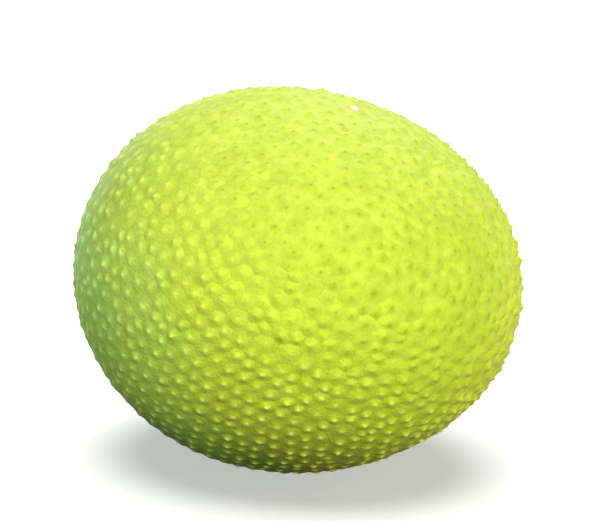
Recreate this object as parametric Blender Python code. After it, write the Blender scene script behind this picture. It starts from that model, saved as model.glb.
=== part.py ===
"""A whole green breadfruit lying on its side, as one closed solid.

The fruit is a head of about 2,000 flowers that grew into one body, so its rind is a net of small polygons,
each raised to a blunt point. The long axis lies along X: the stalk was at -X, and +X is the outer end.
The skin is worked out as a function of direction from the middle of the fruit, in three steps: an
egg-shaped body, cell middles spread over it along a spiral, and a height for each cell's point and corners.
"""
import math

import bmesh
import bpy
import numpy as np

# The body, in metres. The shares are parts of the local radius.
HALF_LENGTH = 0.0933
HALF_WIDTH = 0.0776
EGG_SHARE = 0.0117
LOBE_SHARE = 0.0115
LOBE_TURN = math.radians(15.0)
CENTRE = np.array((-0.0022, -0.0006, 0.0764))

# The cells of the rind.
CELL_COUNT = 1980
CROWDING = 0.15
TIP_HEIGHT = 0.0013
TIP_SPREAD = 0.00022
GROOVE_DEPTH = 0.0006
WANDER = 0.42
EVENING = 0.5
SEED = 7
GOLDEN_ANGLE = math.pi * (3.0 - math.sqrt(5.0))
OUTLINE_STEPS = 2000

# The stalk's scar at -X: a flat disc in a shallow hollow, with one ring of cells round it.
SCAR_RADIUS = 0.0065
SCAR_DEPTH = 0.0010
RING_RADIUS = 0.0100
RING_CELLS = 9
RING_OUTER = 0.0137
HOLLOW_DEPTH = 0.0025
HOLLOW_RADIUS = 0.0130

RIND_COLOUR = (0.55, 0.70, 0.07, 1.0)
RIND_ROUGHNESS = 0.45


def body(directions):
    """The mean surface along unit directions from the fruit's middle.

    A spheroid whose radius is multiplied by 1, plus a third harmonic along the axis (the egg), plus a third
    harmonic round the girth (the lobes).
    """
    x, y, z = directions.T
    spheroid = 1.0 / np.sqrt((x / HALF_LENGTH) ** 2 + (y * y + z * z) / HALF_WIDTH ** 2)
    egg = EGG_SHARE * (4.0 * x ** 3 - 3.0 * x)
    lobes = LOBE_SHARE * np.hypot(y, z) ** 3 * np.cos(3.0 * (np.arctan2(z, y) - LOBE_TURN))
    return directions * (spheroid * (1.0 + egg + lobes))[:, None]


def outward(points):
    """The spheroid's unit normals at these points."""
    slopes = points / np.array((HALF_LENGTH, HALF_WIDTH, HALF_WIDTH)) ** 2
    return slopes / np.linalg.norm(slopes, axis=1, keepdims=True)


def direction(from_stalk, turn):
    """Unit directions at an angle from the stalk end (-X) and a turn about X."""
    girth = np.sin(from_stalk)
    return np.column_stack((-np.cos(from_stalk), girth * np.cos(turn), girth * np.sin(turn)))


def cell_middles(random):
    """Unit directions of the cells: the scar, its ring, and a golden-angle spiral.

    The band of skin between two angles from the stalk has an area, counted for more toward the outer end,
    where cells are smaller. The spiral takes one step each time it grows by one cell's area, and each cell
    then wanders by a share of the cells' spacing.
    """
    angle = np.linspace(0.0, math.pi, OUTLINE_STEPS)
    outline = body(direction(angle, np.zeros(OUTLINE_STEPS)))
    girth = (outline[1:, 1] + outline[:-1, 1]) / 2.0
    step = np.hypot(*np.diff(outline[:, :2], axis=0).T)
    crowding = 1.0 - CROWDING * np.cos((angle[1:] + angle[:-1]) / 2.0)
    area = np.concatenate(([0.0], np.cumsum(2.0 * math.pi * girth * step * crowding)))

    count = CELL_COUNT - 1 - RING_CELLS
    start = np.interp(RING_OUTER / HALF_LENGTH, angle, area)
    cell_area = (area[-1] - start) / count
    from_stalk = np.interp(start + (np.arange(count) + 0.5) * cell_area, area, angle)
    turn = np.arange(count) * GOLDEN_ANGLE

    spacing = math.sqrt(cell_area)
    reach = WANDER * spacing * np.sqrt(random.random(count))
    way = 2.0 * math.pi * random.random(count)
    turn += reach * np.sin(way) / (HALF_WIDTH * np.sin(from_stalk))
    from_stalk += reach * np.cos(way) / HALF_LENGTH

    ring_turn = 2.0 * math.pi * np.arange(RING_CELLS) / RING_CELLS
    ring = direction(np.full(RING_CELLS, RING_RADIUS / HALF_LENGTH), ring_turn)
    scar = direction(np.zeros(1), np.zeros(1))
    return np.vstack((scar, ring, direction(from_stalk, turn)))


def cell_net(points):
    """A closed mesh with a fan of triangles for each cell.

    The hull of the middles joins neighbouring cells, and each middle moves part of the way to the mean of
    its neighbours. A corner is added in each of the hull's triangles, and each edge between two middles is
    turned to join the two corners beside it, so it becomes the cells' border.
    """
    net = bmesh.new()
    for point in points:
        net.verts.new(point)
    bmesh.ops.convex_hull(net, input=net.verts)
    bmesh.ops.smooth_vert(net, verts=net.verts, factor=EVENING, use_axis_x=True, use_axis_y=True,
                          use_axis_z=True)
    between_middles = list(net.edges)
    bmesh.ops.poke(net, faces=net.faces)
    bmesh.ops.rotate_edges(net, edges=between_middles)
    bmesh.ops.recalc_face_normals(net, faces=net.faces)
    return net


def heights(directions, random):
    """How far each vertex stands from the mean surface: tips up, corners down, the stalk end hollowed."""
    count = len(directions)
    height = np.full(count, -GROOVE_DEPTH)
    height[:CELL_COUNT] = TIP_HEIGHT + TIP_SPREAD * random.standard_normal(CELL_COUNT)
    from_axis = np.arccos(np.clip(-directions[:, 0], -1.0, 1.0)) * HALF_LENGTH
    height[from_axis < (SCAR_RADIUS + RING_RADIUS) / 2.0] = -SCAR_DEPTH
    return height - HOLLOW_DEPTH * np.exp(-(from_axis / HOLLOW_RADIUS) ** 2)


def rind_material():
    material = bpy.data.materials.new("breadfruit_rind")
    material.use_nodes = True
    shader = material.node_tree.nodes["Principled BSDF"]
    shader.inputs["Base Color"].default_value = RIND_COLOUR
    shader.inputs["Roughness"].default_value = RIND_ROUGHNESS
    shader.inputs["Metallic"].default_value = 0.0
    return material


def breadfruit():
    """The fruit: the cell net on the body, raised by its heights, and pressed flat where it rests."""
    random = np.random.default_rng(SEED)
    net = cell_net(body(cell_middles(random)))
    mesh = bpy.data.meshes.new("breadfruit")
    net.to_mesh(mesh)
    net.free()

    place = np.empty(len(mesh.vertices) * 3, dtype=np.float32)
    mesh.vertices.foreach_get("co", place)
    place = place.reshape(-1, 3).astype(float)
    directions = place / np.linalg.norm(place, axis=1, keepdims=True)
    skin = body(directions)
    skin += outward(skin) * heights(directions, random)[:, None]
    skin += CENTRE
    skin[:, 2] = np.maximum(skin[:, 2], 0.0)
    mesh.vertices.foreach_set("co", skin.astype(np.float32).ravel())
    mesh.update()
    mesh.shade_smooth()
    mesh.materials.append(rind_material())
    return bpy.data.objects.new("breadfruit", mesh)


def main():
    for leftover in list(bpy.data.objects):
        bpy.data.objects.remove(leftover, do_unlink=True)
    collection = bpy.data.collections.new("breadfruit")
    bpy.context.scene.collection.children.link(collection)
    collection.objects.link(breadfruit())


main()
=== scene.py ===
# %% [markdown]
# # A breadfruit, cell by cell
# A breadfruit is a whole head of flowers that grew into one body. Each flower left one small polygon on
# the rind, with a blunt point where its style dried up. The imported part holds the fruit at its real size,
# with a flat-sided fan for each flower. This lesson builds the skin that the eye sees on the same cells.
# It could be sculpted, or a texture could fake the relief, but a formula gives every cell a true edge and
# point, also on the outline, and the same fruit each time.

import math

import bmesh
import bpy
import numpy as np
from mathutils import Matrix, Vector


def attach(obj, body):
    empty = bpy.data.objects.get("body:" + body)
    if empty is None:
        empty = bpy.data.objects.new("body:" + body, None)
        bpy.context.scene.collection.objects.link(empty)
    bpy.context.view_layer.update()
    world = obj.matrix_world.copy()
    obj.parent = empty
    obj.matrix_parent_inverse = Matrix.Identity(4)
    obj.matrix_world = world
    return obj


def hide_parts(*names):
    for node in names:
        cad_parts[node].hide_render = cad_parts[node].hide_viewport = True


MM = 0.001

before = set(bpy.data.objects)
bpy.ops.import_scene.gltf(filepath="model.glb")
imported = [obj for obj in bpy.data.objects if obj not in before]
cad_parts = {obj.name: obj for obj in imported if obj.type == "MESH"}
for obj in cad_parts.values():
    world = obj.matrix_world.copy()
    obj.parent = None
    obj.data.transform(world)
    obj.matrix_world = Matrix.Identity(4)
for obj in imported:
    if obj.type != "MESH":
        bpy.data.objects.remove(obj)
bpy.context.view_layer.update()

# %% [markdown]
# ## The body under the cells
# Seen as a whole, the fruit is an egg with a level long axis: the stalk end, at -X, is blunt, and the outer
# end a little pointed. It grew with three very soft lobes round its girth. A subdivided sphere pushed about
# by hand could have this form, but a radius for every direction is exact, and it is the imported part's own
# formula, so the new skin fits it with nothing to adjust.

# %% The mean surface
HALF_LENGTH = 93.3 * MM
HALF_WIDTH = 77.6 * MM
EGG_SHARE = 0.0117
LOBE_SHARE = 0.0115
LOBE_TURN = math.radians(15.0)
CENTRE = np.array((-2.2, -0.6, 76.4)) * MM


def unit(vectors):
    """Each row divided by its length."""
    return vectors / np.linalg.norm(vectors, axis=1, keepdims=True)


def body(directions):
    """The mean surface along unit directions from the middle: a spheroid whose radius is multiplied by
    1 + a third harmonic along the axis (the egg) + a third harmonic round the girth (the lobes)."""
    x, y, z = directions.T
    spheroid = 1.0 / np.sqrt((x / HALF_LENGTH) ** 2 + (y * y + z * z) / HALF_WIDTH ** 2)
    egg = EGG_SHARE * (4.0 * x ** 3 - 3.0 * x)
    lobes = LOBE_SHARE * np.hypot(y, z) ** 3 * np.cos(3.0 * (np.arctan2(z, y) - LOBE_TURN))
    return directions * (spheroid * (1.0 + egg + lobes))[:, None]


def outward(points):
    """The spheroid's unit normals: the gradient (x/a^2, y/b^2, z/b^2) of its equation."""
    return unit(points / np.array((HALF_LENGTH, HALF_WIDTH, HALF_WIDTH)) ** 2)


print("body length and girth, mm:", 2 * HALF_LENGTH / MM, 2 * HALF_WIDTH / MM)

# %% [markdown]
# ## Where the cells sit
# Flowers on such a head appear one after another, each turned by the golden angle from the last, as
# sunflower seeds are, so the cells lie in faint curved rows. A random scatter would lose those rows and a
# grid would look made. Here the spiral takes one step each time the band of skin behind it has grown by
# one cell's area, counted for more toward the outer end, where cells are smaller, and then every cell
# wanders a little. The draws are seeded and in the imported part's order.

# %% The spiral of cell middles
CELL_COUNT = 1980
CROWDING = 0.15
WANDER = 0.42
SEED = 7
GOLDEN_ANGLE = math.pi * (3.0 - math.sqrt(5.0))
OUTLINE_STEPS = 2000
RING_RADIUS = 10.0 * MM
RING_CELLS = 9
RING_OUTER = 13.7 * MM


def direction(from_stalk, turn):
    """Unit directions at an angle from the stalk end (-X) and a turn about X."""
    girth = np.sin(from_stalk)
    return np.column_stack((-np.cos(from_stalk), girth * np.cos(turn), girth * np.sin(turn)))


def cell_middles(random):
    """Directions of the scar, its ring of cells and the spiral, whose angle from the stalk is read from
    the skin's area summed from the stalk end: 2 pi times girth times arc length times the crowding."""
    angle = np.linspace(0.0, math.pi, OUTLINE_STEPS)
    outline = body(direction(angle, np.zeros(OUTLINE_STEPS)))
    girth = (outline[1:, 1] + outline[:-1, 1]) / 2.0
    step = np.hypot(*np.diff(outline[:, :2], axis=0).T)
    crowding = 1.0 - CROWDING * np.cos((angle[1:] + angle[:-1]) / 2.0)
    area = np.concatenate(([0.0], np.cumsum(2.0 * math.pi * girth * step * crowding)))

    count = CELL_COUNT - 1 - RING_CELLS
    start = np.interp(RING_OUTER / HALF_LENGTH, angle, area)
    cell_area = (area[-1] - start) / count
    from_stalk = np.interp(start + (np.arange(count) + 0.5) * cell_area, area, angle)
    turn = np.arange(count) * GOLDEN_ANGLE

    spacing = math.sqrt(cell_area)
    reach = WANDER * spacing * np.sqrt(random.random(count))
    way = 2.0 * math.pi * random.random(count)
    turn += reach * np.sin(way) / (HALF_WIDTH * np.sin(from_stalk))
    from_stalk += reach * np.cos(way) / HALF_LENGTH

    ring_turn = 2.0 * math.pi * np.arange(RING_CELLS) / RING_CELLS
    ring = direction(np.full(RING_CELLS, RING_RADIUS / HALF_LENGTH), ring_turn)
    scar = direction(np.zeros(1), np.zeros(1))
    print("cell area, square mm:", round(cell_area / MM ** 2, 1))
    return np.vstack((scar, ring, direction(from_stalk, turn)))


random = np.random.default_rng(SEED)
first_middles = body(cell_middles(random))

# %% [markdown]
# ## Which cells are neighbours
# Cells press against each other until their borders lie halfway between their middles. The convex hull of
# the middles gives the same net: an edge joins each pair of neighbours, and each hull triangle holds the
# corner where three cells meet. Blender's hull does this in one call, which a hand-made search would not.
# Swelling then rounds the cells, so each middle moves halfway to the mean of its neighbours.

# %% The net of neighbours
EVENING = 0.5


def neighbour_net(points):
    """The points after one step toward the mean of their neighbours, and rows of three cell numbers,
    counter-clockwise from outside, from the points' convex hull."""
    cloud = bpy.data.meshes.new("cell_middles")
    cloud.from_pydata(points, [], [])
    hull = bmesh.new()
    hull.from_mesh(cloud)
    bmesh.ops.convex_hull(hull, input=hull.verts)
    bmesh.ops.smooth_vert(hull, verts=hull.verts, factor=EVENING, use_axis_x=True, use_axis_y=True,
                          use_axis_z=True)
    hull.to_mesh(cloud)
    hull.free()
    evened = np.empty(len(cloud.vertices) * 3, dtype=np.float32)
    cloud.vertices.foreach_get("co", evened)
    rows = np.empty(len(cloud.loops), dtype=np.int32)
    cloud.loops.foreach_get("vertex_index", rows)
    bpy.data.meshes.remove(cloud)
    evened = evened.reshape(-1, 3).astype(float)
    rows = rows.reshape(-1, 3).astype(np.int64)
    a, b, c = evened[rows].transpose(1, 0, 2)
    inward = np.einsum("ij,ij->i", np.cross(b - a, c - a), a) < 0.0
    rows[inward] = rows[inward, ::-1]
    return evened, rows


middles, triangles = neighbour_net(first_middles)
corners = body(unit(middles[triangles].mean(axis=1)))
middles = body(unit(middles))
print("cells:", len(middles), "corners where three meet:", len(corners))

# %% [markdown]
# ## Wedges and spokes
# Each cell is cut like a pie: a spoke runs from its tip to each corner, and a wedge lies between two
# spokes. One number serves for a triangle's corner, its spoke and its directed edge, so the whole net is
# a few arrays of indices and needs no search. The rings of vertices round a tip then share those numbers.

# %% Index arrays of the wedges
edge_from = triangles.ravel()
edge_to = np.roll(triangles, -1, axis=1).ravel()
EDGES = len(edge_from)

forward = edge_from * CELL_COUNT + edge_to
backward = edge_to * CELL_COUNT + edge_from
order = np.argsort(forward)
twin = order[np.searchsorted(forward[order], backward)]

left_corner = np.arange(EDGES) // 3
right_corner = left_corner[twin]
left_spoke = np.arange(EDGES)
right_spoke = 3 * (twin // 3) + (twin % 3 + 1) % 3
border_number, border_of_edge = np.unique(np.minimum(left_spoke, twin), return_inverse=True)
print("wedges:", EDGES, "borders:", len(border_number))

# %% [markdown]
# ## Rings round each tip
# The eye reads three things on a cell: a small steep nub, a low dome and a thin groove at the border. The
# nub and the groove have a real width in millimetres, whatever the cell's size, and the dome takes the
# rest. So the inner rings stand at fixed distances from the tip, the outer ones at a fixed inset from the
# border, and small cells get a smaller share. An even grid would blur both where they matter. A spoke meets
# the border at about 60 degrees and a mid line meets it square, so a step along a spoke counts for less.

# %% Distances from the tip along spokes and mid lines
NUB_RINGS = np.array((0.45, 1.00, 1.70)) * MM
NUB_RING_SHARES = np.array((0.13, 0.29, 0.50))
GROOVE_INSET = 0.38 * MM
GROOVE_INSET_SHARE = 0.22
SPOKE_SLANT = math.sin(math.radians(60.0))
MIDDLE_SLANT = 1.0


def groove_edge(length, slant):
    """Where the groove starts on a line of this length: an inset from its end, less on a short line."""
    return length - np.minimum(GROOVE_INSET / slant, GROOVE_INSET_SHARE * length)


tip_of_edge = middles[edge_from]
spoke_end = corners[left_corner]
middle_end = (corners[left_corner] + corners[right_corner]) / 2.0
spoke_length = np.linalg.norm(spoke_end - tip_of_edge, axis=1)
middle_length = np.linalg.norm(middle_end - tip_of_edge, axis=1)

nub_spokes = [np.minimum(ring, share * spoke_length) for ring, share in zip(NUB_RINGS, NUB_RING_SHARES)]
nub_middle = np.minimum(NUB_RINGS[-1], NUB_RING_SHARES[-1] * middle_length)
edge_spokes = groove_edge(spoke_length, SPOKE_SLANT)
edge_middles = groove_edge(middle_length, MIDDLE_SLANT)
dome_spokes = (nub_spokes[-1] + edge_spokes) / 2.0
dome_middles = (nub_middle + edge_middles) / 2.0
print("spokes, mm:", (spoke_length.min() / MM).round(2), "to", (spoke_length.max() / MM).round(2))

# %% [markdown]
# ## One list of vertices
# Every vertex is known by its cell, the line it lies on and how far along it stands. Stacking the rings
# gives one list, and the place where each ring starts in it gives the faces their numbers.

# %% Stacking the rings
def ring_points(distance, end, length):
    """Points at a distance from each edge's tip on the straight line to its end."""
    return tip_of_edge + (end - tip_of_edge) * (distance / length)[:, None]


def stacked(at_tips, on_lines, at_corners, at_borders):
    """One array in the order of the list: the tips, each ring, the corners and the borders' middles."""
    return np.concatenate((at_tips, *on_lines, at_corners, at_borders))


lines = [(ring, spoke_end, spoke_length, SPOKE_SLANT) for ring in nub_spokes]
lines += [
    (dome_spokes, spoke_end, spoke_length, SPOKE_SLANT),
    (dome_middles, middle_end, middle_length, MIDDLE_SLANT),
    (edge_spokes, spoke_end, spoke_length, SPOKE_SLANT),
    (edge_middles, middle_end, middle_length, MIDDLE_SLANT),
]
distances, ends, lengths, slants = zip(*lines)
corner_length = spoke_length.reshape(-1, 3).mean(axis=1)
border_length = middle_length[border_number]

rings = [ring_points(*line) for line in zip(distances, ends, lengths)]
flat_points = [middles, *rings, corners, middle_end[border_number]]
starts = np.cumsum([0] + [len(points) for points in flat_points])
cell_of = stacked(np.arange(CELL_COUNT), [edge_from] * len(lines), triangles[:, 0], edge_from[border_number])
from_tip = stacked(np.zeros(CELL_COUNT), distances, corner_length, border_length)
reach = stacked(np.full(CELL_COUNT, spoke_length.mean()), lengths, corner_length, border_length)
slant = stacked(np.ones(CELL_COUNT), [np.full(EDGES, value) for value in slants],
                np.ones_like(corner_length), np.ones_like(border_length))
on_middle = stacked(np.zeros(CELL_COUNT), [np.full(EDGES, float(end is middle_end)) for end in ends],
                    np.zeros_like(corner_length), np.zeros_like(border_length))
to_seam = (reach - from_tip) * slant
print("vertices:", starts[-1])

# %% [markdown]
# ## Nubs
# Each flower's style dried up and left a blunt point, a low cone with a round top. A bell curve in the
# distance from the tip has that form, and its power makes the top blunter or sharper. No two points are the
# same height, and the outline shows the tall ones. Toward the stalk, underneath and on top they are worn.
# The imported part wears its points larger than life, so these are lower on the same mean surface.

# %% Nub heights
NUB_HEIGHT = 0.74 * MM
NUB_SPREAD = 0.32 * MM
NUB_LEAST = 0.10 * MM
NUB_RADIUS = 1.38 * MM
NUB_POWER = 1.6
TALL_SIDE = np.array((0.6, 0.0, 0.8))
WORN_BELOW = -0.8
TALL_ABOVE = 0.5
WORN_SHARE = 0.48
RUBBED_SHARE = 0.40
RUBBED_FROM = 0.50

nub_height = np.maximum(NUB_HEIGHT + NUB_SPREAD * random.standard_normal(CELL_COUNT), NUB_LEAST)


def smooth_step(values, start, end):
    """0 up to the start, 1 from the end, and t * t * (3 - 2 t) between them."""
    t = np.clip((values - start) / (end - start), 0.0, 1.0)
    return t * t * (3.0 - 2.0 * t)


def nubs(ways):
    """The cell's own height * exp(-(distance from the tip / radius) ^ power), lower where it is worn."""
    tall = smooth_step(ways @ TALL_SIDE, WORN_BELOW, TALL_ABOVE)
    rubbed = RUBBED_SHARE * smooth_step(ways[:, 2], RUBBED_FROM, 1.0)
    bell = np.exp(-(from_tip / NUB_RADIUS) ** NUB_POWER)
    return nub_height[cell_of] * bell * (WORN_SHARE + (1.0 - WORN_SHARE) * tall) * (1.0 - rubbed)


print("nub heights, mm:", (np.percentile(nub_height, (5, 50, 95)) / MM).round(2))

# %% [markdown]
# ## Domes
# Between its borders a cell swells as a cushion does between its seams: a low dome that dips to the groove.
# Between two corners it sags a little, which gives it soft facets. Cells near both ends and on the underside
# swelled less, and on top the skin has settled, so the points there stand on nearly flat skin.

# %% Dome heights
DOME_LEVEL = 0.53 * MM
GROOVE_DEPTH = 0.68 * MM
DOME_POWER = 1.40
FACET_SAG = 0.12 * MM
RISE_SPREAD = 0.35
RISE_LEAST = 0.3
RISE_MOST = 1.8
SWOLLEN_GIRTH = 0.50
SWOLLEN_WITHIN = 0.30
FLAT_BEYOND = 0.92
FLAT_BELOW = -0.78
SWOLLEN_ABOVE = 0.20
SETTLED_SHARE = 0.60
SETTLED_FROM = 0.30
FLAT_SHARE = 0.38

rise = GROOVE_DEPTH * np.clip(1.0 + RISE_SPREAD * random.standard_normal(CELL_COUNT), RISE_LEAST, RISE_MOST)


def swelling(ways):
    """1 in a belt round the girth, less toward the ends, the underside and the top, and never under the
    flat share: a product of three smooth steps."""
    belt = 1.0 - smooth_step(np.abs(ways[:, 0] - SWOLLEN_GIRTH), SWOLLEN_WITHIN, FLAT_BEYOND)
    lifted = smooth_step(ways[:, 2], FLAT_BELOW, SWOLLEN_ABOVE)
    settled = SETTLED_SHARE * smooth_step(ways[:, 2], SETTLED_FROM, 1.0)
    return FLAT_SHARE + (1.0 - FLAT_SHARE) * belt * lifted * (1.0 - settled)


def domes(ways):
    """Level + swelling * (rise * (1 - share ^ 2) ^ power - facet sag - groove depth), where the share runs
    from 0 at the tip to 1 at the border."""
    share = np.clip(from_tip / reach, 0.0, 1.0)
    dome = rise[cell_of] * (1.0 - share ** 2) ** DOME_POWER
    sag = FACET_SAG * on_middle * np.sin(math.pi * share)
    return DOME_LEVEL + swelling(ways) * (dome - sag - GROOVE_DEPTH)


print("dome rise, mm:", (np.percentile(rise, (5, 50, 95)) / MM).round(2))

# %% [markdown]
# ## Hollow, scar and a bead of latex
# Round the stalk the skin sinks into a shallow hollow, with a flat place where the stalk came off. High on
# the fruit one bead of milky latex has dried. Separate pieces would need a join to hide, so both are part of
# the same heights, and the skin stays one closed surface. It is cut level where the fruit rests.

# %% The skin's points
SCAR_EDGE = 7.2 * MM
SCAR_DEPTH = 1.0 * MM
HOLLOW_DEPTH = 2.5 * MM
HOLLOW_RADIUS = 13.0 * MM
BEAD_HEIGHT = 1.1 * MM
BEAD_RADIUS = 2.1 * MM
BEAD_POWER = 4
BEAD_WAY = np.array((0.370, -0.060, 0.927))


def hollow(from_axis):
    """How deep the skin sinks round the stalk: depth * exp(-(distance from the axis / radius) ^ 2)."""
    return HOLLOW_DEPTH * np.exp(-(from_axis / HOLLOW_RADIUS) ** 2)


def latex_bead(ways):
    """A flat-topped bell, height * exp(-(distance / radius) ^ power), round one point of the skin."""
    from_bead = np.arccos(np.clip(ways @ unit(BEAD_WAY[None])[0], -1.0, 1.0)) * HALF_WIDTH
    return BEAD_HEIGHT * np.exp(-(from_bead / BEAD_RADIUS) ** BEAD_POWER)


directions = unit(np.concatenate(flat_points))
mean_skin = body(directions)
from_axis = np.arccos(np.clip(-directions[:, 0], -1.0, 1.0)) * HALF_LENGTH
relief = domes(directions) + np.maximum(nubs(directions), latex_bead(directions))
relief[(cell_of == 0) | (from_axis < SCAR_EDGE)] = -SCAR_DEPTH
relief -= hollow(from_axis)
skin = mean_skin + outward(mean_skin) * relief[:, None] + CENTRE
skin[:, 2] = np.maximum(skin[:, 2], 0.0)
print("skin box, mm:", (skin.min(axis=0) / MM).round(2), (skin.max(axis=0) / MM).round(2))

# %% [markdown]
# ## Faces of a wedge
# A wedge has one triangle at the tip, then strips that grow from one segment across to two, so the fine
# nub stays light and the long border gets enough faces to bend. Each strip is written once, as columns of
# vertex numbers for all wedges together.

# %% Joining the rings
TIP, NUB_1, NUB_2, NUB_3, DOME, DOME_MID, EDGE, EDGE_MID, CORNER, BORDER = starts[:-1]


def strip(*columns):
    """One triangle per row, counter-clockwise from outside, from three columns of vertex numbers."""
    return np.column_stack(columns)


def quad(inner_right, inner_left, outer_right, outer_left):
    """Two triangles per wedge between an inner and an outer segment."""
    return [strip(inner_right, outer_right, outer_left), strip(inner_right, outer_left, inner_left)]


tip = TIP + edge_from
faces = [strip(tip, NUB_1 + right_spoke, NUB_1 + left_spoke)]
for inner, outer in ((NUB_1, NUB_2), (NUB_2, NUB_3)):
    faces += quad(inner + right_spoke, inner + left_spoke, outer + right_spoke, outer + left_spoke)

wedge = np.arange(EDGES)
faces += [
    strip(NUB_3 + right_spoke, DOME + right_spoke, DOME_MID + wedge),
    strip(NUB_3 + right_spoke, DOME_MID + wedge, NUB_3 + left_spoke),
    strip(NUB_3 + left_spoke, DOME_MID + wedge, DOME + left_spoke),
]
faces += quad(DOME + right_spoke, DOME_MID + wedge, EDGE + right_spoke, EDGE_MID + wedge)
faces += quad(DOME_MID + wedge, DOME + left_spoke, EDGE_MID + wedge, EDGE + left_spoke)
border = BORDER + border_of_edge
faces += quad(EDGE + right_spoke, EDGE_MID + wedge, CORNER + right_corner, border)
faces += quad(EDGE_MID + wedge, EDGE + left_spoke, border, CORNER + left_corner)
cell_of_face = np.tile(edge_from, len(faces))
faces = np.concatenate(faces)
print("triangles:", len(faces))

# %% [markdown]
# ## The rind as a mesh
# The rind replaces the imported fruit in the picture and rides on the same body. It carries what its finish
# needs on the surface itself: how far each point is from its tip and from the nearest groove, and one
# random number for each cell, because no two cells are quite the same green.

# %% Mesh and attributes
def add_attribute(mesh, name, domain, values):
    """Stores one float for each point or face of the mesh."""
    attribute = mesh.attributes.new(name, "FLOAT", domain)
    attribute.data.foreach_set("value", np.asarray(values, dtype=np.float32))


def make_piece(name, points, polygons):
    """A smooth-shaded mesh object at the origin, in the scene, riding on the fruit's one body."""
    mesh = bpy.data.meshes.new(name)
    mesh.from_pydata(points, [], polygons)
    mesh.shade_smooth()
    piece = bpy.data.objects.new(name, mesh)
    bpy.context.scene.collection.objects.link(piece)
    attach(piece, "root")
    return piece


rind = make_piece("rind", skin, faces)
add_attribute(rind.data, "from_tip_mm", "POINT", from_tip / MM)
add_attribute(rind.data, "to_seam_mm", "POINT", to_seam / MM)
add_attribute(rind.data, "cell_tone", "FACE", random.random(CELL_COUNT)[cell_of_face])
add_attribute(rind.data, "style_tone", "FACE", random.random(CELL_COUNT)[cell_of_face])
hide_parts("breadfruit")
print("rind faces:", len(rind.data.polygons), "invalid:", rind.data.validate())

# %% [markdown]
# ## The stalk scar
# Where the fruit was picked, the stalk left a round corky scar: a raised rim of cork, a pale ring where latex
# dried, and a core of fibres. A disk with a picture on it would look flat from the side. Here it is a polar
# grid on the hollow's own surface, its height a sum of rings and a ripple round the axis.

# %% The scar's surface
SCAR_RADIUS = 7.8 * MM
SCAR_RINGS = 40
SCAR_TURNS = 96
RIM_RADIUS = 6.1 * MM
RIM_WIDTH = 0.9 * MM
RIM_HEIGHT = 0.75 * MM
CORE_RADIUS = 2.6 * MM
CORE_HEIGHT = 0.35 * MM
CORK_LEVEL = 0.15 * MM
CORK_EDGE_DROP = 0.9 * MM
CORE_POWER = 4
EDGE_POWER = 12
RIPPLES = 17
RIPPLE_HEIGHT = 0.10 * MM
RIPPLE_TWIST = 9.0
RIM_WAVER = 0.25 * MM
RIM_WAVES = ((3.0, 1.0, 0.7), (7.0, 0.6, 0.0))


def scar_surface():
    """Points and faces of a polar grid. Height = cork level + rim bell + core bell + ripples that grow with
    the radius, and a fall at the edge that tucks it under the rind. The rim's radius wavers: each wave has
    a count round it, a share and a phase."""
    radius = np.repeat(np.arange(1, SCAR_RINGS + 1) / SCAR_RINGS * SCAR_RADIUS, SCAR_TURNS)
    turn = np.tile(np.arange(SCAR_TURNS) * 2.0 * math.pi / SCAR_TURNS, SCAR_RINGS)
    radius = np.append(radius, 0.0)
    turn = np.append(turn, 0.0)
    uneven = RIM_WAVER * sum(part * np.sin(count * turn + phase) for count, part, phase in RIM_WAVES)
    rim = RIM_HEIGHT * np.exp(-((radius - RIM_RADIUS - uneven) / RIM_WIDTH) ** 2)
    core = CORE_HEIGHT * np.exp(-(radius / CORE_RADIUS) ** CORE_POWER)
    share = radius / SCAR_RADIUS
    ripples = RIPPLE_HEIGHT * share * np.sin(RIPPLES * turn + RIPPLE_TWIST * share)
    height = CORK_LEVEL + rim + core + ripples - CORK_EDGE_DROP * share ** EDGE_POWER - SCAR_DEPTH
    ways = direction(radius / HALF_LENGTH, turn)
    points = body(ways)
    points += outward(points) * (height - hollow(radius))[:, None] + CENTRE

    ring = np.arange(SCAR_RINGS - 1)[:, None] * SCAR_TURNS
    here = np.arange(SCAR_TURNS)[None, :]
    ahead = (here + 1) % SCAR_TURNS
    a, b = (ring + here).ravel(), (ring + ahead).ravel()
    c, d = a + SCAR_TURNS, b + SCAR_TURNS
    middle = np.full(SCAR_TURNS, len(points) - 1)
    polygons = np.concatenate((strip(a, d, c), strip(a, b, d), strip(middle, ahead[0], here[0])))
    return points, polygons, radius


scar_points, scar_faces, scar_radius = scar_surface()
corners_of_scar = scar_points[scar_faces]
facing_out = np.cross(corners_of_scar[:, 1] - corners_of_scar[:, 0],
                      corners_of_scar[:, 2] - corners_of_scar[:, 0])
print("scar triangles:", len(scar_faces), "facing outwards:", (facing_out[:, 0] < 0.0).mean().round(3))
scar = make_piece("stalk_scar", scar_points, scar_faces)
add_attribute(scar.data, "from_axis_mm", "POINT", scar_radius / MM)

# %% [markdown]
# ## Four helpers for finishes
# Colours are picked as the hex values of an ordinary screen, and shaders count in linear light, so one
# function converts them. One starts a material, and one fills a node's sockets with values or with another
# node's output. The last adds a node with its settings, so that a finish reads from top to bottom. A mix
# node has several sockets of one name and takes numbers: 0 is its share, 6 and 7 its two colours, 2 its
# colour out. Two settings return so often that they have names: a step without corners and a colour mix.

# %% Colour and node helpers
SMOOTH = {"interpolation_type": "SMOOTHSTEP"}
COLOURS = {"output": 2, "data_type": "RGBA"}


def colour(hex_value):
    """Linear RGBA of an sRGB hex colour, by the sRGB curve."""
    channels = [int(hex_value[i:i + 2], 16) / 255.0 for i in (1, 3, 5)]
    linear = [c / 12.92 if c <= 0.04045 else ((c + 0.055) / 1.055) ** 2.4 for c in channels]
    return (*linear, 1.0)


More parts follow.
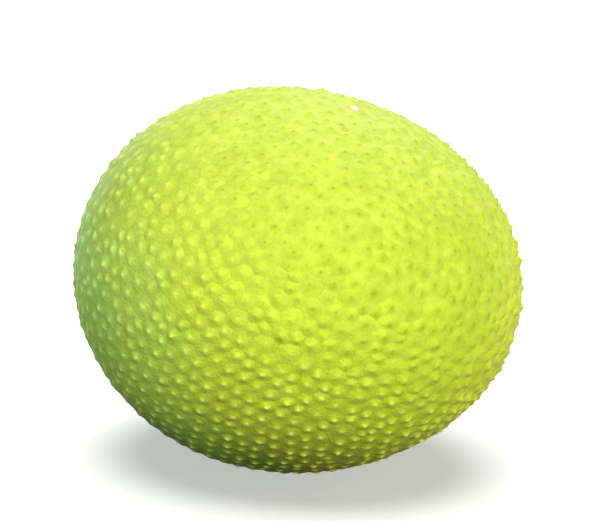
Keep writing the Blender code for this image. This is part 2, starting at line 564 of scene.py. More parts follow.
def new_material(name):
    """A material with its tree and its empty Principled shader."""
    material = bpy.data.materials.new(name)
    material.use_nodes = True
    return material, material.node_tree, material.node_tree.nodes["Principled BSDF"]


def fill(node, sockets):
    """Sets a node's sockets to values, or links them from output sockets."""
    for name, value in sockets.items():
        if isinstance(value, bpy.types.NodeSocket):
            node.id_data.links.new(value, node.inputs[name])
        else:
            node.inputs[name].default_value = value


def add(tree, kind, sockets=None, output=0, **properties):
    """A new node's output socket."""
    node = tree.nodes.new(kind)
    for name, value in properties.items():
        setattr(node, name, value)
    fill(node, sockets or {})
    return node.outputs[output]


print("mid grey in linear light:", round(colour("#808080")[0], 3))

# %% [markdown]
# ## Rind: lit side and shaded side
# The rind is living skin under a thin natural wax, its pigment green chlorophyll over yellow. Here it is lime
# toward the outer end and a bluer green toward the stalk, on the left of the view. That is partly the rind's
# own colour and partly painted light: painted shade on the side away from the lamps, and a painted cool
# reflection of the white backdrop on the left. A second direction, toward the lamps at the upper right of the
# view, is worked out here too, and the steps below use it to paint shade and highlights in the gaps, seams
# and points. A painted map could hold this, but a direction on the fruit plus a soft noise gives the drift
# without a seam. The noise has patches of 30 mm. Here and below, a step's two numbers are named FROM, where
# it starts, and FULL, where it is complete.

# %% Rind: lit side and shaded side
LIME = colour("#CCE046")
GREEN = colour("#ACED96")
LIT_SIDE = (0.76, 0.27, 0.59)
LIT_FROM, LIT_FULL = -0.66, 0.02
LIME_SIDE = (0.94, 0.22, 0.27)
LIME_FROM, LIME_FULL = -0.64, 0.00
PATCH_SIZE = 30.0 * MM
PATCH_SHARE = 0.50

rind_material, tree, shader = new_material("waxy_breadfruit_rind")
place = add(tree, "ShaderNodeTexCoord", output="Object")
from_middle = add(tree, "ShaderNodeVectorMath", {0: place, 1: CENTRE}, operation="SUBTRACT")
facing = add(tree, "ShaderNodeVectorMath", {0: from_middle}, operation="NORMALIZE")
patches = add(tree, "ShaderNodeTexNoise", {"Vector": place, "Scale": 1.0 / PATCH_SIZE, "Detail": 3.0})
# the side toward the lamps, at the upper right of the view: the mask for painted light below
toward_lit_side = add(tree, "ShaderNodeVectorMath", {0: facing, 1: LIT_SIDE}, "Value", operation="DOT_PRODUCT")
uneven_lit = add(tree, "ShaderNodeMath", {0: patches, 1: PATCH_SHARE, 2: toward_lit_side}, operation="MULTIPLY_ADD")
lit_share = add(tree, "ShaderNodeMapRange", {"Value": uneven_lit, "From Min": LIT_FROM, "From Max": LIT_FULL},
          **SMOOTH)
toward_lime_side = add(tree, "ShaderNodeVectorMath", {0: facing, 1: LIME_SIDE}, "Value", operation="DOT_PRODUCT")
uneven_lime_side = add(tree, "ShaderNodeMath", {0: patches, 1: PATCH_SHARE, 2: toward_lime_side},
                  operation="MULTIPLY_ADD")
lime_share = add(tree, "ShaderNodeMapRange", {"Value": uneven_lime_side, "From Min": LIME_FROM,
                                            "From Max": LIME_FULL}, **SMOOTH)
# bluer green on the left: partly the rind's colour, partly painted shade and a painted cool reflection
green_or_lime = add(tree, "ShaderNodeMix", {0: lime_share, 6: GREEN, 7: LIME}, **COLOURS)
print("lime in linear light:", [round(value, 3) for value in LIME])

# %% [markdown]
# ## Rind: top sheen, underside and ripening side
# On top the lime is mixed toward a paler, bluer lime: a painted sheen of the lamps above on the wax. Lower
# down the colour moves toward a fuller yellow-green, and on the side away from the lamps toward a darker
# green, which is partly painted shade. One side has begun to ripen toward yellow. Each is a step in a height
# or a direction, mixed over the colour before it, which is easier to adjust than one ramp with many stops.

# %% Rind: top sheen, underside and ripening side
SHEEN_LIME = colour("#CFE454")
TOP_SHEEN_FROM, TOP_SHEEN_FULL = 95.0 * MM, 150.0 * MM
TOP_SHEEN_SHARE = 0.8
UNDER_YELLOW = colour("#C0D612")
UNDER_GREEN = colour("#9ACA18")
UNDER_FROM, UNDER_FULL = 150.0 * MM, 10.0 * MM
RIPE = colour("#E8E440")
RIPE_SIDE = (0.88, 0.39, -0.27)
RIPE_FROM, RIPE_FULL = 0.70, 1.0
RIPE_SHARE = 0.6

height = add(tree, "ShaderNodeSeparateXYZ", {"Vector": place}, "Z")
# painted sheen: a paler, bluer lime high on the fruit
top_sheen = add(tree, "ShaderNodeMapRange", {"Value": height, "From Min": TOP_SHEEN_FROM, "From Max": TOP_SHEEN_FULL,
                                         "To Max": TOP_SHEEN_SHARE}, **SMOOTH)
upper_skin = add(tree, "ShaderNodeMix", {0: top_sheen, 6: green_or_lime, 7: SHEEN_LIME}, **COLOURS)
# darker green low down on the side away from the lamps: partly painted shade
lower_skin = add(tree, "ShaderNodeMix", {0: lit_share, 6: UNDER_GREEN, 7: UNDER_YELLOW}, **COLOURS)
under = add(tree, "ShaderNodeMapRange", {"Value": height, "From Min": UNDER_FROM, "From Max": UNDER_FULL})
grown_skin = add(tree, "ShaderNodeMix", {0: under, 6: upper_skin, 7: lower_skin}, **COLOURS)
ripe_facing = add(tree, "ShaderNodeVectorMath", {0: facing, 1: RIPE_SIDE}, "Value", operation="DOT_PRODUCT")
ripe = add(tree, "ShaderNodeMapRange", {"Value": ripe_facing, "From Min": RIPE_FROM, "From Max": RIPE_FULL,
                                        "To Max": RIPE_SHARE}, **SMOOTH)
skin_colour = add(tree, "ShaderNodeMix", {0: ripe, 6: grown_skin, 7: RIPE}, **COLOURS)
print("nodes so far:", len(tree.nodes))

# %% [markdown]
# ## Rind: shade, low ground and blotches
# Three things below depend on whether the skin is on the side away from the lamps or near the ground, so both
# are worked out once: the speckle, and the green and the dark low down in the gaps, which are painted shade.
# Blotches of 6 mm, a duller olive, lie over the whole fruit where sap dried or a leaf rubbed. A noise with a
# narrow window gives such islands, where a full range would give fog.

# %% Rind: shade, low ground and blotches
SHADE_FROM, SHADE_FULL = 0.55, -0.40
GROUND_FROM, GROUND_FULL = 44.0 * MM, 6.0 * MM
BLOTCH = colour("#A4BC20")
BLOTCH_SIZE = 6.0 * MM
BLOTCH_FROM, BLOTCH_FULL = 0.42, 0.62
BLOTCH_SHARE = 0.22

# the side away from the lamps, where the gaps and seams get painted shade
shaded_side = add(tree, "ShaderNodeMapRange", {"Value": uneven_lit, "From Min": SHADE_FROM,
                                              "From Max": SHADE_FULL}, **SMOOTH)
near_ground = add(tree, "ShaderNodeMapRange", {"Value": height, "From Min": GROUND_FROM,
                                               "From Max": GROUND_FULL}, **SMOOTH)
blotch_noise = add(tree, "ShaderNodeTexNoise", {"Vector": place, "Scale": 1.0 / BLOTCH_SIZE, "Detail": 3.0})
blotches = add(tree, "ShaderNodeMapRange", {"Value": blotch_noise, "From Min": BLOTCH_FROM,
                                            "From Max": BLOTCH_FULL, "To Max": BLOTCH_SHARE}, **SMOOTH)
blotched = add(tree, "ShaderNodeMix", {0: blotches, 6: skin_colour, 7: BLOTCH}, **COLOURS)
print("nodes so far:", len(tree.nodes))

# %% [markdown]
# ## Rind: no two cells alike
# Each cell is a small fruit of its own, a shade lighter or darker than its neighbour. Over that lies a mottle
# of 2.6 mm. Pores of about 0.3 mm speckle the skin, too fine to show at this distance, so the speckle is
# drawn at 0.9 mm. It shows most in shade, low down and on the ripening side. A single noise would treat all
# cells alike, so the number that each cell carries comes first.

# %% Rind: tone, mottle and speckle
CELL_DARKEST, CELL_LIGHTEST = 0.93, 1.05
MOTTLE_SIZE = 2.6 * MM
MOTTLE_FROM, MOTTLE_FULL = 0.3, 0.7
MOTTLE_DARKEST, MOTTLE_LIGHTEST = 0.90, 1.08
SPECKLE_SIZE = 0.9 * MM
SPECKLE_FROM, SPECKLE_FULL = 0.25, 0.75
SPECKLE_SWING = 0.13
SPECKLE_LEAST = 0.35

tone = add(tree, "ShaderNodeAttribute", output="Fac", attribute_name="cell_tone")
cell_shade = add(tree, "ShaderNodeMapRange", {"Value": tone, "To Min": CELL_DARKEST, "To Max": CELL_LIGHTEST})
mottle_noise = add(tree, "ShaderNodeTexNoise", {"Vector": place, "Scale": 1.0 / MOTTLE_SIZE, "Detail": 4.0})
mottle = add(tree, "ShaderNodeMapRange", {"Value": mottle_noise, "From Min": MOTTLE_FROM,
                                          "From Max": MOTTLE_FULL, "To Min": MOTTLE_DARKEST,
                                          "To Max": MOTTLE_LIGHTEST})
speckle_noise = add(tree, "ShaderNodeTexNoise", {"Vector": place, "Scale": 1.0 / SPECKLE_SIZE, "Detail": 2.0})
speckle = add(tree, "ShaderNodeMapRange", {"Value": speckle_noise, "From Min": SPECKLE_FROM,
                                           "From Max": SPECKLE_FULL, "To Min": -SPECKLE_SWING,
                                           "To Max": SPECKLE_SWING})
shade = add(tree, "ShaderNodeMath", {0: shaded_side, 1: near_ground}, operation="MAXIMUM")
speckled_side = add(tree, "ShaderNodeMath", {0: shade, 1: ripe}, operation="MAXIMUM")
speckle_share = add(tree, "ShaderNodeMapRange", {"Value": speckled_side, "To Min": SPECKLE_LEAST})
speckled = add(tree, "ShaderNodeMath", {0: speckle, 1: speckle_share, 2: mottle}, operation="MULTIPLY_ADD")
brightness = add(tree, "ShaderNodeMath", {0: cell_shade, 1: speckled}, operation="MULTIPLY")
toned = add(tree, "ShaderNodeVectorMath", {0: blotched, "Scale": brightness}, operation="SCALE")
print("nodes so far:", len(tree.nodes))

# %% [markdown]
# ## Rind: gaps
# Between the points the skin is darker, as painted shade in the hollows between them: a darker green, more on
# the side away from the lamps, and low down near the ground a deeper painted shade in soft patches, olive on
# the shaded side and ochre toward the lamps. On the lower half, toward the lamps, the gaps take a tan cast.
# The distance from the tip, which the mesh holds, places all this, so it follows each cell, which no noise
# would.
# Each gap colour is a layer with a share of its own, and one loop lays them on.

# %% Rind: gaps
GAP_FROM_MM, GAP_FULL_MM = 0.8, 2.8
GAP_GREEN = colour("#90AA3C")
GREEN_LEAST, GREEN_IN_SHADE = 0.10, 0.34
GAP_OLIVE = colour("#4A7008")
GAP_OCHRE = colour("#7E7808")
UNDERSHADE_LEAST, UNDERSHADE_IN_SHADE = 0.42, 0.38
UNDERSHADE_FROM, UNDERSHADE_FULL = 0.35, 0.60
UNDERSHADE_PATCH_LEAST, UNDERSHADE_PATCH_MOST = 0.55, 1.40
GAP_TAN = colour("#A69E26")
TAN_FROM, TAN_FULL = 82.0 * MM, 30.0 * MM
TAN_SHARE = 0.28

tip_distance = add(tree, "ShaderNodeAttribute", output="Fac", attribute_name="from_tip_mm")
gap = add(tree, "ShaderNodeMapRange", {"Value": tip_distance, "From Min": GAP_FROM_MM,
                                       "From Max": GAP_FULL_MM}, **SMOOTH)
green_share = add(tree, "ShaderNodeMath", {0: shaded_side, 1: GREEN_IN_SHADE, 2: GREEN_LEAST},
                  operation="MULTIPLY_ADD")
undershade_share = add(tree, "ShaderNodeMath", {0: shaded_side, 1: UNDERSHADE_IN_SHADE, 2: UNDERSHADE_LEAST},
                 operation="MULTIPLY_ADD")
undershade_patches = add(tree, "ShaderNodeMapRange", {"Value": patches, "From Min": UNDERSHADE_FROM,
                                                "From Max": UNDERSHADE_FULL, "To Min": UNDERSHADE_PATCH_LEAST,
                                                "To Max": UNDERSHADE_PATCH_MOST})
patchy_undershade = add(tree, "ShaderNodeMath", {0: undershade_share, 1: undershade_patches}, operation="MULTIPLY")
painted_undershade = add(tree, "ShaderNodeMath", {0: near_ground, 1: patchy_undershade}, operation="MULTIPLY")
undershade_colour = add(tree, "ShaderNodeMix", {0: shaded_side, 6: GAP_OCHRE, 7: GAP_OLIVE}, **COLOURS)
lower_half = add(tree, "ShaderNodeMapRange", {"Value": height, "From Min": TAN_FROM, "From Max": TAN_FULL,
                                              "To Max": TAN_SHARE}, **SMOOTH)
tan_share = add(tree, "ShaderNodeMath", {0: lower_half, 1: lit_share}, operation="MULTIPLY")

gapped = toned
# painted shade between the points: green away from the lamps, olive and ochre low down; then the tan cast
for share, pigment in ((green_share, GAP_GREEN), (painted_undershade, undershade_colour), (tan_share, GAP_TAN)):
    in_gap = add(tree, "ShaderNodeMath", {0: gap, 1: share}, operation="MULTIPLY")
    gapped = add(tree, "ShaderNodeMix", {0: in_gap, 6: gapped, 7: pigment}, **COLOURS)
print("nodes so far:", len(tree.nodes))

# %% [markdown]
# ## Rind: seams
# The border between two cells is a thin dark line, partly the groove's own colour and partly painted shade in
# the groove. It is clear in some patches and lost in others and on the side toward the lamps. A line drawn at
# one strength would look inked, so the same soft patches that drift the green fade it.

# %% Rind: seams
SEAM_GREEN = colour("#8CA622")
SEAM_FROM_MM, SEAM_FULL_MM = 0.60, 0.0
SEAM_PATCH_FROM, SEAM_PATCH_FULL = 0.35, 0.65
SEAM_LEAST, SEAM_MOST = 0.08, 0.34
SEAM_LIT_FROM, SEAM_LIT_FULL = 0.95, 0.40

seam_distance = add(tree, "ShaderNodeAttribute", output="Fac", attribute_name="to_seam_mm")
seam_line = add(tree, "ShaderNodeMapRange", {"Value": seam_distance, "From Min": SEAM_FROM_MM,
                                             "From Max": SEAM_FULL_MM}, **SMOOTH)
seam_patches = add(tree, "ShaderNodeMapRange", {"Value": patches, "From Min": SEAM_PATCH_FROM,
                                                "From Max": SEAM_PATCH_FULL, "To Min": SEAM_LEAST,
                                                "To Max": SEAM_MOST})
seam_side = add(tree, "ShaderNodeMapRange", {"Value": uneven_lit, "From Min": SEAM_LIT_FROM,
                                             "From Max": SEAM_LIT_FULL}, **SMOOTH)
seam_share = add(tree, "ShaderNodeMath", {0: seam_patches, 1: seam_side}, operation="MULTIPLY")
seams = add(tree, "ShaderNodeMath", {0: seam_line, 1: seam_share}, operation="MULTIPLY")
# partly painted shade: a dark line in the groove, faded toward the lamps
seamed = add(tree, "ShaderNodeMix", {0: seams, 6: gapped, 7: SEAM_GREEN}, **COLOURS)
print("nodes so far:", len(tree.nodes))

# %% [markdown]
# ## Rind: pale points
# Away from the lamps and low down a cell's point is paler than its skin: partly a paler tip, and partly a
# painted highlight, the light that the raised point catches while the skin round it is in shade. The paleness
# is a spot of colour by distance from the tip. It could come from a pointiness node, but that reads the
# mesh's density and not the cell, so the stored distance is steadier.

# %% Rind: pale points
STYLE_PALE = colour("#E6F47C")
WELL_LIT_FROM, WELL_LIT_FULL = 0.10, 0.50
LOW_FROM, LOW_FULL = 80.0 * MM, 40.0 * MM
POINT_FROM_MM, POINT_FULL_MM = 1.70, 0.30
GLINT_FROM, GLINT_FULL = 70.0 * MM, 30.0 * MM
GLINT_LEAST, GLINT_MOST = 0.36, 0.62

well_lit = add(tree, "ShaderNodeMapRange", {"Value": uneven_lit, "From Min": WELL_LIT_FROM,
                                              "From Max": WELL_LIT_FULL})
low_down = add(tree, "ShaderNodeMapRange", {"Value": height, "From Min": LOW_FROM, "From Max": LOW_FULL},
               **SMOOTH)
lit_and_high = add(tree, "ShaderNodeMath", {0: well_lit, 1: low_down}, operation="SUBTRACT",
                     use_clamp=True)
point_side = add(tree, "ShaderNodeMath", {0: 1.0, 1: lit_and_high}, operation="SUBTRACT")
point_size = add(tree, "ShaderNodeMapRange", {"Value": tip_distance, "From Min": POINT_FROM_MM,
                                              "From Max": POINT_FULL_MM}, **SMOOTH)
pale_tip_glint_by_height = add(tree, "ShaderNodeMapRange", {"Value": height, "From Min": GLINT_FROM, "From Max": GLINT_FULL,
                                            "To Min": GLINT_LEAST, "To Max": GLINT_MOST})
pale_tip_glint_share = add(tree, "ShaderNodeMath", {0: pale_tip_glint_by_height, 1: point_side}, operation="MULTIPLY")
points = add(tree, "ShaderNodeMath", {0: point_size, 1: pale_tip_glint_share}, operation="MULTIPLY")
# painted highlight on the raised points, with a paler tip colour
pointed = add(tree, "ShaderNodeMix", {0: points, 6: seamed, 7: STYLE_PALE}, **COLOURS)
print("nodes so far:", len(tree.nodes))

# %% [markdown]
# ## Rind: dried styles
# Toward the lamps each point shows instead a small olive dot in a faint halo, and no two are equally dark.
# The dot is partly the dried style and partly painted shade on the point's shaded side; the halo is painted
# shade round the point, stronger lower down. Both are spots by distance from the tip again, the halo wide and
# faint and the dot small and strong, and the second random number of each cell sets how dark its dot is.

# %% Rind: halos and olive dots
STYLE_OLIVE = colour("#9CA606")
FULLY_LIT_FROM, FULLY_LIT_FULL = 0.35, 0.75
HALO_FROM_MM, HALO_FULL_MM = 2.8, 0.6
HALO_LOW, HALO_HIGH = 75.0 * MM, 130.0 * MM
HALO_LOW_SHARE, HALO_HIGH_SHARE = 0.62, 0.34
DOT_FROM_MM, DOT_FULL_MM = 1.08, 0.15
DOT_SHARE = 0.75
DOT_PALEST = 0.45

fully_lit = add(tree, "ShaderNodeMapRange", {"Value": uneven_lit, "From Min": FULLY_LIT_FROM,
                                            "From Max": FULLY_LIT_FULL})
halo_size = add(tree, "ShaderNodeMapRange", {"Value": tip_distance, "From Min": HALO_FROM_MM,
                                             "From Max": HALO_FULL_MM}, **SMOOTH)
halo_share = add(tree, "ShaderNodeMapRange", {"Value": height, "From Min": HALO_LOW, "From Max": HALO_HIGH,
                                              "To Min": HALO_LOW_SHARE, "To Max": HALO_HIGH_SHARE})
halo_where_lit = add(tree, "ShaderNodeMath", {0: halo_share, 1: fully_lit}, operation="MULTIPLY")
halos = add(tree, "ShaderNodeMath", {0: halo_size, 1: halo_where_lit}, operation="MULTIPLY")
# painted shade: a faint dark halo round each point on the lit side
haloed = add(tree, "ShaderNodeMix", {0: halos, 6: pointed, 7: BLOTCH}, **COLOURS)

style_tone = add(tree, "ShaderNodeAttribute", output="Fac", attribute_name="style_tone")
style_shade = add(tree, "ShaderNodeMapRange", {"Value": style_tone, "To Min": DOT_PALEST})
dot_size = add(tree, "ShaderNodeMapRange", {"Value": tip_distance, "From Min": DOT_FROM_MM,
                                            "From Max": DOT_FULL_MM, "To Max": DOT_SHARE}, **SMOOTH)
dot_share = add(tree, "ShaderNodeMath", {0: lit_and_high, 1: style_shade}, operation="MULTIPLY")
dots = add(tree, "ShaderNodeMath", {0: dot_size, 1: dot_share}, operation="MULTIPLY")
# olive dot: the dried style, with painted shade on the point's shaded side
dotted = add(tree, "ShaderNodeMix", {0: dots, 6: haloed, 7: STYLE_OLIVE}, **COLOURS)
print("nodes so far:", len(tree.nodes))

# %% [markdown]
# ## Rind: latex and scrapes
# A nick bleeds white latex, which dries to a cream bead with a brown rim, and small scrapes heal to brown
# cork. Each is a patch round one point of the skin. A plain disk would look stamped on, so the mottle pushes
# its edge in and out by a millimetre or so. A row holds the way to a mark, its radius, its share and colour.

# %% Rind: latex and scrapes
LATEX = colour("#E8E0CC")
SCRAPE = colour("#C0A650")
EDGE_WANDER = 2.4 * MM
EDGE_WIDTH = 0.8 * MM
MARKS = (
    ((-0.198, -0.383, 0.902), 2.2 * MM, 0.55, SCRAPE),
    ((0.406, -0.267, 0.874), 2.2 * MM, 0.55, SCRAPE),
    ((0.427, -0.289, 0.857), 2.2 * MM, 0.55, SCRAPE),
    (BEAD_WAY, 3.5 * MM, 0.5, SCRAPE),
    (BEAD_WAY, 2.6 * MM, 1.0, LATEX),
)

marked = dotted
for way, radius, share, pigment in MARKS:
    centre = skin[np.argmax(directions @ unit(np.array((way,)))[0])]
    distance = add(tree, "ShaderNodeVectorMath", {0: place, 1: centre}, "Value", operation="DISTANCE")
    frayed = add(tree, "ShaderNodeMath", {0: mottle_noise, 1: EDGE_WANDER, 2: distance},
                 operation="MULTIPLY_ADD")
    patch = add(tree, "ShaderNodeMapRange", {"Value": frayed, "From Min": radius + EDGE_WIDTH,
                                             "From Max": radius, "To Max": share}, **SMOOTH)
    marked = add(tree, "ShaderNodeMix", {0: patch, 6: marked, 7: pigment}, **COLOURS)
    print("mark at, mm:", (centre / MM).round(1), "radius:", round(radius / MM, 1))

# %% [markdown]
# ## Rind: wax and fine grain
# Plant wax has an index near 1.4 and no metal in it. It grew as tiny scales, so it gives a broad dull gloss
# and a trace of sheen, and it is duller where the mottle is light. Under it the skin has a grain of about
# 0.4 mm, drawn at 1.3 mm so that it shows.

# %% Rind: wax and fine grain
WAX_INDEX = 1.40
WAX_SPECULAR = 0.30
WAX_SMOOTHEST, WAX_ROUGHEST = 0.58, 0.74
SHEEN_WEIGHT = 0.06
SHEEN_ROUGHNESS = 0.45
GRAIN_SIZE = 1.3 * MM
GRAIN_HEIGHT = 0.45 * MM

grain = add(tree, "ShaderNodeTexNoise", {"Vector": place, "Scale": 1.0 / GRAIN_SIZE, "Detail": 5.0})
bump = add(tree, "ShaderNodeBump", {"Strength": 1.0, "Distance": GRAIN_HEIGHT, "Height": grain})
rough = add(tree, "ShaderNodeMapRange", {"Value": mottle_noise, "To Min": WAX_SMOOTHEST,
                                         "To Max": WAX_ROUGHEST})
fill(shader, {"Base Color": marked, "Roughness": rough, "Normal": bump, "IOR": WAX_INDEX,
              "Specular IOR Level": WAX_SPECULAR, "Sheen Weight": SHEEN_WEIGHT,
              "Sheen Roughness": SHEEN_ROUGHNESS})
rind.data.materials.append(rind_material)
print("rind nodes:", len(tree.nodes))

# %% [markdown]
# ## Corky stalk scar
# Cut stalk tissue heals as dry brown cork. The eye sees a rough brown rim, a paler ring of dried latex inside
# it and a dark core, all without gloss. Rings by distance from the axis give the zones. Cork fibres are about
# 1.2 mm apart, and one noise of that size gives both their colour and their bump, so the two agree.

# %% Scar material
CORK = colour("#8C7446")
CORK_DARK = colour("#4E3D22")
DRIED_LATEX = colour("#B9A77C")
FIBRE_SIZE = 1.2 * MM
FIBRE_HEIGHT = 0.5 * MM
FIBRE_FROM, FIBRE_FULL = 0.35, 0.65
RING_OUTSIDE_MM, RING_OUTSIDE_FULL_MM = 5.6, 4.6
RING_INSIDE_MM, RING_INSIDE_FULL_MM = 2.6, 3.4
CORE_FROM_MM, CORE_FULL_MM = 3.0, 1.6
CORE_SHARE = 0.55
CORK_ROUGHNESS = 0.9
CORK_SPECULAR = 0.25

scar_material, scar_tree, scar_shader = new_material("corky_stalk_scar")
scar_place = add(scar_tree, "ShaderNodeTexCoord", output="Object")
axis_distance = add(scar_tree, "ShaderNodeAttribute", output="Fac", attribute_name="from_axis_mm")
fibres = add(scar_tree, "ShaderNodeTexNoise", {"Vector": scar_place, "Scale": 1.0 / FIBRE_SIZE,
                                               "Detail": 6.0, "Roughness": 0.65})
fibre_share = add(scar_tree, "ShaderNodeMapRange", {"Value": fibres, "From Min": FIBRE_FROM,
                                                    "From Max": FIBRE_FULL})
cork = add(scar_tree, "ShaderNodeMix", {0: fibre_share, 6: CORK_DARK, 7: CORK}, **COLOURS)
inside_rim = add(scar_tree, "ShaderNodeMapRange", {"Value": axis_distance, "From Min": RING_OUTSIDE_MM,
                                                   "From Max": RING_OUTSIDE_FULL_MM}, **SMOOTH)
outside_core = add(scar_tree, "ShaderNodeMapRange", {"Value": axis_distance, "From Min": RING_INSIDE_MM,
                                                     "From Max": RING_INSIDE_FULL_MM}, **SMOOTH)
latex_ring = add(scar_tree, "ShaderNodeMath", {0: inside_rim, 1: outside_core}, operation="MULTIPLY")
latex_share = add(scar_tree, "ShaderNodeMath", {0: latex_ring, 1: fibres}, operation="MULTIPLY")
latexed = add(scar_tree, "ShaderNodeMix", {0: latex_share, 6: cork, 7: DRIED_LATEX}, **COLOURS)
dark_core = add(scar_tree, "ShaderNodeMapRange", {"Value": axis_distance, "From Min": CORE_FROM_MM,
                                                  "From Max": CORE_FULL_MM, "To Max": CORE_SHARE}, **SMOOTH)
scar_colour = add(scar_tree, "ShaderNodeMix", {0: dark_core, 6: latexed, 7: CORK_DARK}, **COLOURS)
scar_bump = add(scar_tree, "ShaderNodeBump", {"Strength": 1.0, "Distance": FIBRE_HEIGHT, "Height": fibres})
fill(scar_shader, {"Base Color": scar_colour, "Normal": scar_bump, "Roughness": CORK_ROUGHNESS,
                   "Specular IOR Level": CORK_SPECULAR})
scar.data.materials.append(scar_material)
print("scar nodes:", len(scar_tree.nodes))

# %% [markdown]
# ## Floor
# The fruit rests on a white sweep of paper, so wide that no edge shows. In a studio the paper further off has
# lamps of its own and burns out to pure white, and only the soft shadow under the fruit stays. Here the
# paper glows by itself, less near the fruit, in place of those lamps. It lies a hair under the fruit, so the
# two surfaces don't share a plane, and its white doesn't light the fruit, because the lamps do that work.
# Paper is matt and has no metal or gloss, so its roughness is high and its specular level nought.

# %% Floor
FLOOR_HALF = 15.0
FLOOR_DROP = 0.2 * MM
GLOW_NEAR, GLOW_FAR = 0.48, 1.0
GLOW_FROM, GLOW_FULL = 150.0 * MM, 500.0 * MM
PAPER_ROUGHNESS = 0.9

floor_corners = [(x * FLOOR_HALF, y * FLOOR_HALF, -FLOOR_DROP)
                 for x, y in ((-1, -1), (1, -1), (1, 1), (-1, 1))]
floor_mesh = bpy.data.meshes.new("floor")
floor_mesh.from_pydata(floor_corners, [], [(0, 1, 2, 3)])
floor = bpy.data.objects.new("floor", floor_mesh)
bpy.context.scene.collection.objects.link(floor)
floor_material, floor_tree, floor_shader = new_material("matt_white_paper_sweep")
floor_place = add(floor_tree, "ShaderNodeTexCoord", output="Object")
floor_radius = add(floor_tree, "ShaderNodeVectorMath", {0: floor_place}, "Value", operation="LENGTH")
glow = add(floor_tree, "ShaderNodeMapRange", {"Value": floor_radius, "From Min": GLOW_FROM,
                                              "From Max": GLOW_FULL, "To Min": GLOW_NEAR,
                                              "To Max": GLOW_FAR}, **SMOOTH)
fill(floor_shader, {"Base Color": colour("#E4E4E3"), "Roughness": PAPER_ROUGHNESS, "Specular IOR Level": 0.0,
                    "Emission Color": colour("#FDFDFF"), "Emission Strength": glow})
floor_mesh.materials.append(floor_material)
floor.visible_diffuse = False
floor.visible_glossy = False
print("floor side, m:", 2 * FLOOR_HALF)

# %% [markdown]
# ## Camera
# The eye stands a little above the fruit and turned towards its outer end, so the level fruit seems to lean
# down to the right. A long lens keeps its outline calm. The camera is moved sideways and up, not turned,
# which sets the fruit a little left of and below the middle of the frame. It comes before the lamps, because
# they are placed by the eye's own right, up and back.

# %% Camera
VIEW_AZIMUTH = math.radians(27.6)
VIEW_ELEVATION = math.radians(14.0)
LENS = 125.3
CAMERA_DISTANCE = 850.0 * MM
CAMERA_RIGHT = 2.7 * MM
CAMERA_UP = 7.2 * MM

VIEW_BACK = Vector((math.sin(VIEW_AZIMUTH) * math.cos(VIEW_ELEVATION),
                    -math.cos(VIEW_AZIMUTH) * math.cos(VIEW_ELEVATION), math.sin(VIEW_ELEVATION)))
VIEW_RIGHT = Vector((math.cos(VIEW_AZIMUTH), math.sin(VIEW_AZIMUTH), 0.0))
VIEW_UP = VIEW_BACK.cross(VIEW_RIGHT)

camera_data = bpy.data.cameras.new("camera")
camera_data.lens = LENS
camera = bpy.data.objects.new("camera", camera_data)
camera.location = (Vector(CENTRE) + VIEW_BACK * CAMERA_DISTANCE + VIEW_RIGHT * CAMERA_RIGHT
                   + VIEW_UP * CAMERA_UP)
camera.rotation_euler = VIEW_BACK.to_track_quat("Z", "Y").to_euler()
bpy.context.scene.collection.objects.link(camera)
bpy.context.scene.camera = camera
print("camera at, m:", [round(value, 3) for value in camera.location])

# %% [markdown]
# ## Light
# Six broad soft lamps stand round the fruit as in a small studio. The key is near the eye, a little right and
# above, so the skin facing it looks smooth, and the cells show more toward the left and below. One behind and
# above keeps the top bright to its edge, one at the left lifts the shaded side, and a weak one behind at the
# right draws the rim. One low in front does what light bounced off a table does, so the points underneath
# look round, and a large one behind lights the back. They light the fruit alone. The paper has one lamp
# overhead, so the fruit has a single soft shadow, right under it, where seven lamps on the paper would leave
# a streak each. A row holds a lamp's way by the eye's right, up and back, its width in metres and strength.

# %% Lamps
LAMP_DISTANCE = 1.6
LAMPS = (
    ("key_softbox", 0.40, 0.24, 0.89, 0.9, 0.98),
    ("top_softbox", 0.25, 0.86, -0.44, 0.9, 0.76),
    ("left_softbox", -0.73, 0.38, 0.52, 0.9, 0.71),
    ("rim_softbox", 0.86, 0.15, -0.48, 0.7, 0.26),
    ("table_bounce", 0.45, -0.66, 0.60, 0.9, 0.30),
    ("back_softbox", -0.35, 0.20, -0.92, 1.1, 0.60),
)
PAPER_LAMP_STRENGTH = 1.80
PAPER_LAMP_SIZE = 1.7

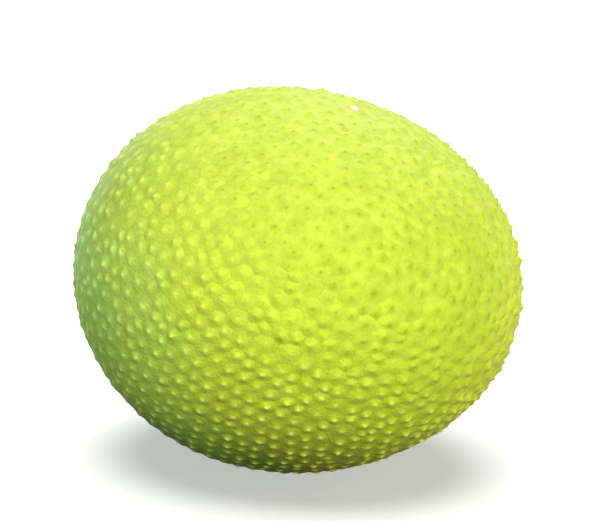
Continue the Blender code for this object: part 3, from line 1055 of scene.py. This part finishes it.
fruit_only = bpy.data.collections.new("lit_fruit")
for piece in (rind, scar):
    fruit_only.objects.link(piece)
paper_only = bpy.data.collections.new("lit_paper")
paper_only.objects.link(floor)


def add_lamp(name, way, size, strength, lit):
    """A disk lamp aimed at the fruit's middle that lights one collection. A facing white surface there
    shines with the given strength, so the power is that times pi squared and the distance squared."""
    data = bpy.data.lights.new(name, "AREA")
    data.shape = "DISK"
    data.size = size
    data.energy = strength * (math.pi * LAMP_DISTANCE) ** 2
    lamp = bpy.data.objects.new(name, data)
    lamp.location = Vector(CENTRE) + way.normalized() * LAMP_DISTANCE
    lamp.rotation_euler = way.to_track_quat("Z", "Y").to_euler()
    bpy.context.scene.collection.objects.link(lamp)
    lamp.light_linking.receiver_collection = lit
    lamp.light_linking.blocker_collection = fruit_only
    print(name, "watts:", round(data.energy, 1), "at", [round(value, 2) for value in lamp.location])


for name, right, up, back, size, strength in LAMPS:
    add_lamp(name, VIEW_RIGHT * right + VIEW_UP * up + VIEW_BACK * back, size, strength, fruit_only)
add_lamp("paper_softbox", Vector((0.0, 0.0, 1.0)), PAPER_LAMP_SIZE, PAPER_LAMP_STRENGTH, paper_only)

# %% [markdown]
# ## Backdrop
# Behind the table hangs plain white paper. The eye sees it as pure white, while hardly any light comes
# from it, because the lamps do that work. The world's light is one strength for rays from the camera and
# another for all the rest. Colours are shown as they are, without a film curve, so white stays white.

# %% White backdrop
SEEN_STRENGTH = 1.0
CAST_STRENGTH = 0.03

world = bpy.data.worlds.new("white_backdrop")
bpy.context.scene.world = world
world.use_nodes = True
background = world.node_tree.nodes["Background"]
seen = add(world.node_tree, "ShaderNodeLightPath", output="Is Camera Ray")
seen_or_cast = add(world.node_tree, "ShaderNodeMix", {0: seen, 2: CAST_STRENGTH, 3: SEEN_STRENGTH},
                   data_type="FLOAT")
fill(background, {"Color": colour("#FFFFFF"), "Strength": seen_or_cast})
bpy.context.scene.view_settings.view_transform = "Standard"
print("backdrop seen and cast:", SEEN_STRENGTH, CAST_STRENGTH)
